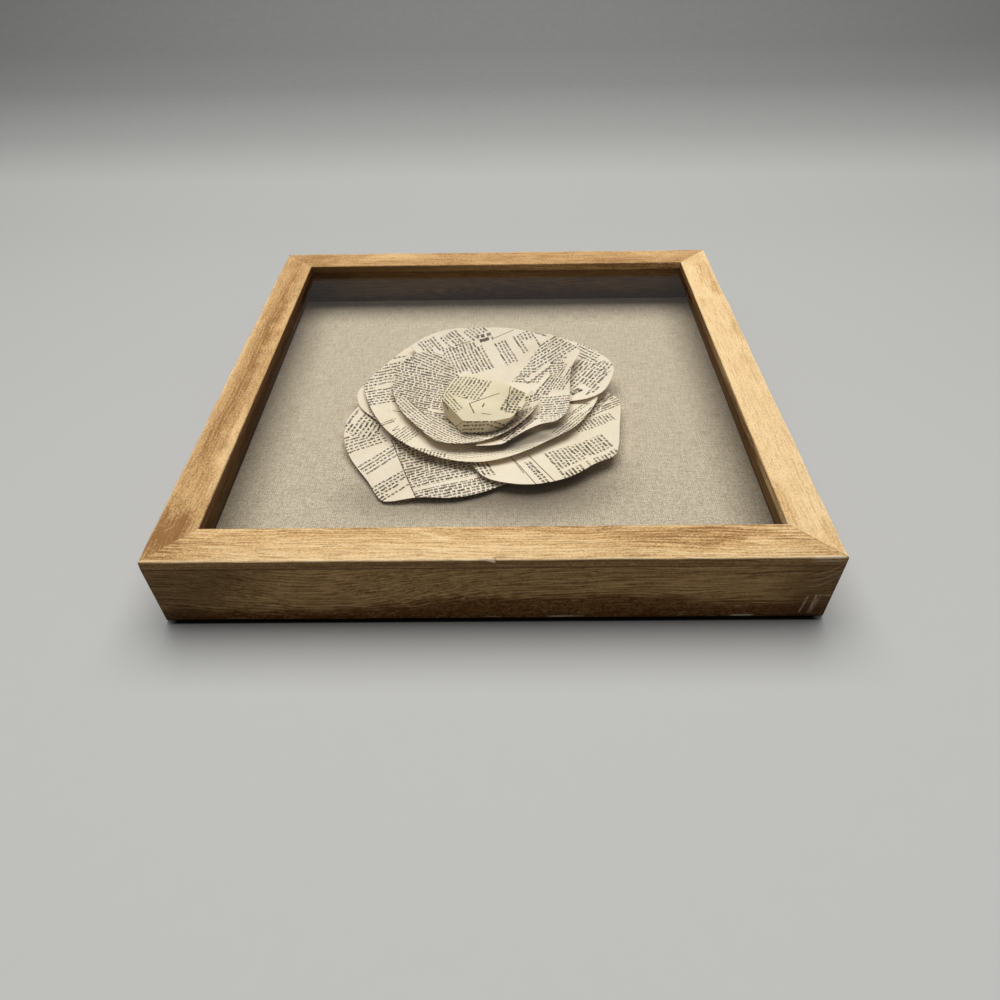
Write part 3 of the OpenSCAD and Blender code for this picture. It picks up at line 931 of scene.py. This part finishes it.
# The strips' two outer corners in metres, and then all in mm: the frame's half width, the strips'
# top, bottom and width, the boards' inner side, and the height near the bud's crown at which
# its print lies unshifted.
face_low, face_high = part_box("face_strip_front")[0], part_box("face_strip_back")[1]
frame_edge = -face_low.x * 1000
face_top = face_high.z * 1000
face_bottom = face_low.z * 1000
strip_width = (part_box("face_strip_front")[1].y - face_low.y) * 1000
board_inside = -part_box("side_board_front")[1].y * 1000
bud_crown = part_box("folded_bud")[1].z * 1000 - 2.0
oval_group = oval_pattern()

# Side, axis, seed, tone of the stained wood, strength of the grain lines, the inner side's colour
# and glow (below 0 where the right end is the brighter one), chip (place along, half length,
# depth) and burnished patches (along, out, half length, half width, amount; pale where below 0,
# partly wear and partly painted sheen).
STRIPS = (
    ("front", 0, 1.3, 0.62, 1.0, (0.125, 0.060, 0.022), 0.35, (CHIP_AT, 3.8, 0.9), [
        (-30, 4, 95, 9, -0.20), (-138, 9, 22, 13, 0.34), (-112, 15, 26, 6, 0.18),
        (-60, 18, 60, 5, 0.14), (30, 18, 60, 6, 0.24), (92, 14, 66, 9, 0.30), (96, 2, 50, 4, -0.16),
        (100, 9, 70, 15, 0.12), (117, 11, 10, 5, -0.20), (142, 6, 20, 12, 0.12),
    ]),
    ("right", 1, 4.1, 0.86, 0.36, (0.21, 0.105, 0.036), 0.75, None, [
        (118, 6, 34, 8, 0.26), (92, 4, 16, 5, 0.30), (70, 16, 10, 4, 0.22), (42, 3, 24, 5, 0.22),
        (0, 5, 26, 4, 0.12), (-118, 17, 22, 4, 0.30), (-140, 4, 14, 6, 0.22), (138, 15, 14, 8, 0.2),
    ]),
    ("back", 0, 7.7, 0.30, 0.5, (0.15, 0.076, 0.028), -0.75, None, [
        (-128, 10, 26, 12, 0.20), (-70, 6, 34, 8, -0.22), (-30, 14, 40, 6, 0.10),
        (30, 8, 40, 8, 0.04), (84, 15, 36, 6, 0.16), (118, 6, 30, 8, -0.14),
    ]),
    ("left", 1, 2.9, 0.35, 0.30, (0.115, 0.046, 0.013), 0.12, None, [
        (80, 11, 60, 6, 0.22), (30, 10, 46, 6, 0.24), (-20, 10, 44, 6, 0.22), (-62, 8, 36, 6, 0.20),
        (-134, 8, 26, 12, 0.42), (-128, 2, 22, 5, 0.18), (-74, 18, 50, 4, -0.34),
        (60, 19, 80, 3, -0.10), (20, 1, 120, 3, -0.26), (136, 10, 16, 8, 0.14),
    ]),
)
for side, axis, seed, base, lined, inner_base, inner_tone, chip, patch_list in STRIPS:
    strip = worn_rail(
        f"face_strip_{side}", f"strip_{side}", axis, arris=0.45, wander=0.45, chip=chip
    )
    finish = face_finish(
        f"honey wood {side}", axis == 1, seed, base, lined, patch_list, inner_base, inner_tone,
        split=side == "front",
    )
    hand_on(strip, finish, f"face_strip_{side}")

# Side, axis, seed, slope of the grain, its dip (place along, half length, depth), inner colour
BOARDS = (
    ("front", 0, 3.3, -0.03, (-72, 95, 11), (0.095, 0.048, 0.020)),
    ("right", 1, 6.1, -0.01, (60, 80, -7), (0.17, 0.085, 0.032)),
    ("back", 0, 8.2, 0.02, (30, 90, 8), (0.060, 0.027, 0.009)),
    ("left", 1, 5.6, 0.0, (-30, 80, -6), (0.045, 0.019, 0.006)),
)
for side, axis, seed, slope, dip, inner_base in BOARDS:
    board = worn_rail(
        f"side_board_{side}", f"board_{side}", axis, arris=0.35, wander=0.0, chamfer=(0.7, 0.7)
    )
    finish = board_finish(
        f"umber wood {side}", axis == 1, seed, slope, dip, inner_base, marks=side == "front"
    )
    hand_on(board, finish, f"side_board_{side}")


def dress(node, material):
    """Gives a CAD node that shows as it is its finish."""
    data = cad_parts[node].data
    data.materials.clear()
    data.materials.append(material)


steel = steel_finish()
dress("glass_pane", glass_finish())
dress("backing_panel", hardboard_finish())
for node in ("framing_points", "corner_staples", "sawtooth_hanger", "hanger_rivets"):
    dress(node, steel)
# Dark and light colour, fineness, roughness and depth
filler = plain_finish("stained filler", (0.20, 0.12, 0.06), (0.46, 0.33, 0.20), 1.2, 0.8, 0.1)
dress("staple_filler", filler)
card = plain_finish("plain card", (0.48, 0.40, 0.27), (0.68, 0.59, 0.43), 0.8, 0.85, 0.05)
dress("card_disc", card)
foam = plain_finish("adhesive foam", (0.74, 0.74, 0.70), (0.88, 0.88, 0.85), 2.0, 0.9, 0.2)
for node in ("foam_pad_lower", "foam_pad_upper"):
    dress(node, foam)


# -------------------- linen


def linen_sheet():
    """The cloth as one flat sheet with two layers, in the place of its solid."""
    low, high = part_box("linen_cloth")
    shape = bmesh.new()
    count = 60
    rows = []
    for j in range(count + 1):
        y = low.y + (high.y - low.y) * j / count
        row = []
        for i in range(count + 1):
            x = low.x + (high.x - low.x) * i / count
            row.append(shape.verts.new((x, y, high.z)))
        rows.append(row)
    for j in range(count):
        for i in range(count):
            shape.faces.new((rows[j][i], rows[j][i + 1], rows[j + 1][i + 1], rows[j + 1][i]))
    piece = add_object("linen", settle(shape, "linen"))
    thickness = piece.modifiers.new("cloth", "SOLIDIFY")
    thickness.thickness = high.z - low.z
    thickness.offset = -1.0
    apply_all(piece)
    hand_on(piece, linen_finish(), "linen_cloth")


linen_sheet()


# -------------------- paper flower

rows_group = rows_pattern()
rule_group = rule_pattern()
paper_group = paper_tree()

# Print of each petal: blocks, rules, folds and paper.
PETALS = {
    "lower_petal_front_left": (
        [
            (-85, -38, -64, -25, 15, 2.4, 1.0), (-79, -28, -72, -7, 18, 2.5, 1.1),
            (-77, -50, -58, -31, 2.5, 2.5, 0.9), (-72, -57, -54, -37, 8, 2.4, 0.95),
            (-66, -66, -53, -49, 2.4, 2.4, 0.9), (-64, -77, -46, -60, 13, 2.2, 1.15),
            (-50, -54, 45, -21, 120, 2.29, 1.32), (-43, -73, -8, -61, 2.6, 2.3, 0.0),
        ],
        [(-59, -30, -41, -78, 0.45), (-9, -61, -5, -73, 0.35)],
        [(-70, -20, -84, -44, 3.0)],
        CREAM,
    ),
    "lower_petal_front_right": (
        [
            (44, -38, 55, -64, 38, 2.3, 1.1), (36, -62, 66, -44, 2.6, 2.3, 0.0),
            (18, -52, 28, -73, 4.4, 2.2, 1.35), (3, -50, 8, -61, 2.6, 2.6, 1.5),
            (2, -64, 7, -73, 2.6, 2.6, 1.5), (-9, -50, -3, -66, 9, 2.4, 1.1),
            (56, -15, 59, -24, 26, 2.0, 1.0), (52, -8, 76, 4, 12, 2.3, 1.1),
            (62, -3.5, 69, 0.5, 4.6, 2.2, 1.7),
        ],
        [
            (11, -50, 22, -73, 0.45), (19, -46, 33, -73, 0.5), (57, -6, 68, 11, 0.5),
            (60, -7, 71, 10, 0.4), (9, -47, 16, -63, 0.4),
        ],
        [],
        BUFF,
    ),
    "lower_petal_right": (
        [(20, 20, 90, 78, 60, 2.3, 1.0), (60, 10, 66, 60, 3, 2.3, 0.0)],
        [(60, 20, 72, 44, 0.45)],
        [],
        CREAM,
    ),
    "lower_petal_back": (
        [(-60, 80, 50, 60, 44, 2.3, 1.0), (-20, 50, -14, 92, 3, 2.3, 0.0)], [], [], CREAM,
    ),
    "lower_petal_left": (
        [(-76, 0, -50, 70, 44, 2.3, 1.0), (-84, 40, -50, 28, 3, 2.3, 0.0)], [], [], BUFF,
    ),
    "middle_petal_front": (
        [
            (-86, 9, -48, 27, 42, 2.5, 1.0), (-54, -37, -46, -25, 10, 1.9, 0.75),
            (-65, -24, -57, -17, 3, 1.6, 0.8), (-36.5, -50, -35.3, -44, 20, 2.0, 1.0),
            (-26, -49, 28, -41, 9, 1.7, 0.45), (34, -34, 57, -8, 10, 2.0, 0.9),
            (43, -15, 56, -4, 5, 2.0, 0.8), (44, -1, 50, 5.5, 5, 2.5, 1.9),
        ],
        [
            (-60, -9, -54, -10, 0.45), (-58, -29, -54, -26, 0.4), (-64, -24, -58, -19.5, 0.45),
            (-58, -29, -55, -23, 0.35), (45, -3, 56, -6, 0.45), (36, -26, 47, -11, 0.4),
        ],
        [(-76, -4, -56, -14, 3.0)],
        BUFF,
    ),
    "middle_petal_right": (
        [
            (45, 10, 66, 36, 24, 2.6, 1.05), (10, 72, 46, 52, 22, 2.3, 1.0),
            (52, 54, 66, 38, 14, 2.3, 1.0), (57, 5, 67, 17, 6, 2.6, 1.2),
            (45, 5, 56, 11, 8, 2.3, 0.0), (45.5, 6.0, 52.5, 10.0, 5.0, 2.2, 2.2),
        ],
        [
            (60, 31, 68, 34, 0.45), (68, 34, 70, 29, 0.45), (65, 20, 71, 23, 0.4),
            (64, 25, 68, 26, 0.9),
        ],
        [],
        CREAM,
    ),
    "middle_petal_left": (
        [
            (-80, 14, -50, 22, 60, 2.3, 0.95), (-66, 46, -24, 80, 30, 2.3, 1.0),
            (-14, 80, 20, 66, 24, 2.3, 1.0),
        ],
        [],
        [],
        CREAM,
    ),
    "inner_petal_left": (
        [
            (-72, 17, 30, -4, 120, 2.2, 1.32), (-50, 40, -20, 27, 14, 2.2, 1.15),
            (-61, -5, -36, -37, 20, 2.2, 1.0), (-45, -28, 12, -70, 34, 2.2, 0.95),
            (0, -38, 22, -17, 8, 2.3, 1.4),
        ],
        [],
        [(-32, 45, -26, 22, 2.2), (-61, 10, -36, 2, 2.4), (-36, -40, -20, -24, 2.2)],
        CREAM,
    ),
    "inner_petal_back": (
        [
            (-45, 55, -37, 44, 14, 2.2, 1.05), (-31, 61.5, -23, 52, 13, 2.2, 1.05),
            (-17, 68, -9, 60, 14, 2.2, 1.0), (-24, 52, -16, 30, 21, 2.25, 1.05),
            (-16.5, 49, -8, 29, 16, 2.25, 1.05), (3, 55, 11, 36, 11, 2.25, 1.0),
            (17, 61, 24, 46, 13, 2.25, 1.0), (-11.5, 57.5, -1.5, 60, 3.8, 3.4, 1.75),
        ],
        [(-26, 52, -16, 56, 0.5), (-29, 51, -23, 48, 0.6), (-1, 58, 12, 64, 0.35)],
        [(-32, 45, -26, 22, 2.2), (10, 64, 6, 40, 3.0)],
        CREAM,
    ),
    "inner_petal_right": (
        [
            (6, 30, 44, 25, 22, 2.3, 1.1), (22, 34, 52, 53, 17, 2.3, 1.1),
            (2, 33.5, 33, 54, 5.0, 2.3, 0.0), (18, 18, 34, 32, 2.6, 2.3, 0.0),
            (21, -6, 38, 20, 15, 2.3, 1.3), (25, -9, 46, -14, 24, 2.2, 1.05),
            (36, 6, 46, 24, 10, 1.9, 1.1), (19, -8, 27, -8, 9, 2.3, 0.0),
            (27, -21, 40, -26, 8, 2.2, 0.6), (4, -41, 22, -15, 8, 2.4, 1.4),
        ],
        [
            (12, 21, 15, 24, 0.4), (15, 24, 21, 23, 0.4), (17, 21, 20, 16, 0.55),
            (20, 16, 34, 29, 0.5),
        ],
        [(12, 30, 44, 52, 3.0), (18, 4, 46, 2, 2.6), (16, -14, 44, -20, 2.6)],
        CREAM,
    ),
}
# Painted shade under the petals above, in soft ovals: (x, y, half length, half width, amount)
SHADES = {
    "middle_petal_front": [(4, -41, 24, 8, 0.85), (22, -34, 20, 9, 0.82), (35, -26, 12, 8, 0.6)],
}
for number, (node, (blocks, rules, folds, tones)) in enumerate(PETALS.items()):
    label = "printed " + node.replace("_", " ")
    shades = SHADES.get(node, ())
    finish = paper_finish(label, number + 1, blocks, rules, folds, tones, shades)
    paper_sheet(node, node.replace("petal", "sheet"), finish)

bud_finish = paper_finish(
    "printed folded bud",
    seed=17,
    blocks=[
        (-21, -12, -13, 8, 26, 2.2, 1.0),
        (-29, -10, -20, -26, 9, 2.0, 0.9),
        (8.8, -27, 17.2, -4, 14, 2.2, 1.5),
        (-24, -39, 12, -40, 13, 1.9, 0.85),
    ],
    rules=[
        (-14, -19, 3, -9, 0.55), (-14, -19, -11, -28, 0.6), (9.3, -1, 6.5, -27, 0.5),
        (-5.6, -19, -6.6, -22.5, 0.8), (-17, -13, -16, -14, 0.9), (-7, -28, -2, -29, 0.4),
    ],
    folds=[],
    tones=YELLOWED,
    leaning=True,
)
paper_sheet("folded_bud", "bud", bud_finish, crinkle=0.45, crease=12.0)


# -------------------- floor, light and camera

# Painted fall-off of the light over the floor, from 300 mm in front of the box's middle to
# 1200 mm behind it
FLOOR = [
    (0.0, (0.56, 0.56, 0.546)),
    (0.24, (0.455, 0.455, 0.443)),
    (0.40, (0.40, 0.40, 0.39)),
    (0.48, (0.395, 0.395, 0.385)),
    (0.575, (0.285, 0.285, 0.278)),
    (0.72, (0.20, 0.20, 0.195)),
    (1.0, (0.198, 0.198, 0.193)),
]
# Backdrop tone with painted shade, darker than the floor
BACKDROP_SHADE = (0.12, 0.115, 0.115)
FLOOR_SPECK = (0.46, 0.46, 0.447)
# Near-black of the painted contact shadow on the floor
CONTACT_SHADOW = (0.004, 0.004, 0.004)


def sweep():
    """Pale floor that curves up into a backdrop behind the box, with painted fall-off of the light:
    the floor darkens towards the back and the backdrop is darker still. A thin painted contact
    shadow runs along the front of the box's foot."""
    half, front, bend, radius, height, steps = 3.0, -2.2, 1.0, 0.4, 2.0, 16
    line = [(front, 0.0), (bend, 0.0)]
    for step in range(1, steps + 1):
        angle = math.pi / 2 * step / steps
        line.append((bend + radius * math.sin(angle), radius * (1 - math.cos(angle))))
    line.append((bend + radius, height))
    shape = bmesh.new()
    left = [shape.verts.new((-half, y, z)) for y, z in line]
    right = [shape.verts.new((half, y, z)) for y, z in line]
    for k in range(len(line) - 1):
        shape.faces.new((left[k], right[k], right[k + 1], left[k + 1]))
    floor = add_object("floor", settle(shape, "floor"))
    floor.data.shade_smooth()
    material, tree = new_finish("pale sweep")
    spot = millimetres(tree)
    x, y, z = tree.split(spot)
    # Painted fall-off of the light: the floor darkens towards the back, the backdrop as it rises
    tone = tree.ramp(FLOOR, (y + 300.0) / 1500.0)
    tone = tree.mix(tone, BACKDROP_SHADE, tree.step(z, 150.0, 420.0))
    speck = tree.streaked(spot, (0.1, 0.1, 0.1), detail=4.0)
    tone = tree.mix(tone, FLOOR_SPECK, speck * 0.12)
    # Painted contact shadow: a thin dark line on the floor along the front of the box's foot
    ahead = -1.0 * y - frame_edge
    contact_shadow = tree.step(ahead, 2.3, 1.2) * tree.step(ahead, -6.0, -4.0)
    contact_shadow = contact_shadow * tree.step(abs(x), frame_edge + 0.5, frame_edge - 5.0)
    tone = tree.mix(tone, CONTACT_SHADOW, contact_shadow)
    surface(tree, Base_Color=tone, Roughness=0.8, Specular_IOR_Level=0.2)
    floor.data.materials.append(material)


def softbox():
    """One large soft lamp above the box. Reflections leave it out, so that it doesn't burn out
    the glass."""
    lamp = bpy.data.lights.new("softbox", "AREA")
    lamp.shape = "RECTANGLE"
    lamp.size = 1.5
    lamp.size_y = 1.1
    lamp.energy = 26.8
    lamp.color = (1.0, 0.995, 0.985)
    holder = add_object("softbox", lamp)
    holder.location = (0.0, 0.48, 1.35)
    holder.rotation_euler = (math.radians(-10), 0.0, 0.0)
    holder.visible_glossy = False
    holder.visible_transmission = False


def studio():
    """Even, dim light from all round."""
    world = bpy.data.worlds.new("studio")
    bpy.context.scene.world = world
    world.use_nodes = True
    background = world.node_tree.nodes["Background"].inputs
    background["Color"].default_value = (0.97, 0.985, 1.0, 1.0)
    background["Strength"].default_value = 0.21


def place_camera():
    """Looks down on the box from in front."""
    lens = bpy.data.cameras.new("camera")
    lens.sensor_width = 36.0
    lens.lens = 25.998
    lens.clip_start = 0.01
    camera = add_object("camera", lens)
    camera.location = (0.00698, -0.35465, 0.2655)
    camera.rotation_euler = (math.radians(46.962), 0.0132, 0.00177)
    bpy.context.scene.camera = camera


sweep()
softbox()
studio()
place_camera()
bpy.context.scene.view_settings.view_transform = "Standard"
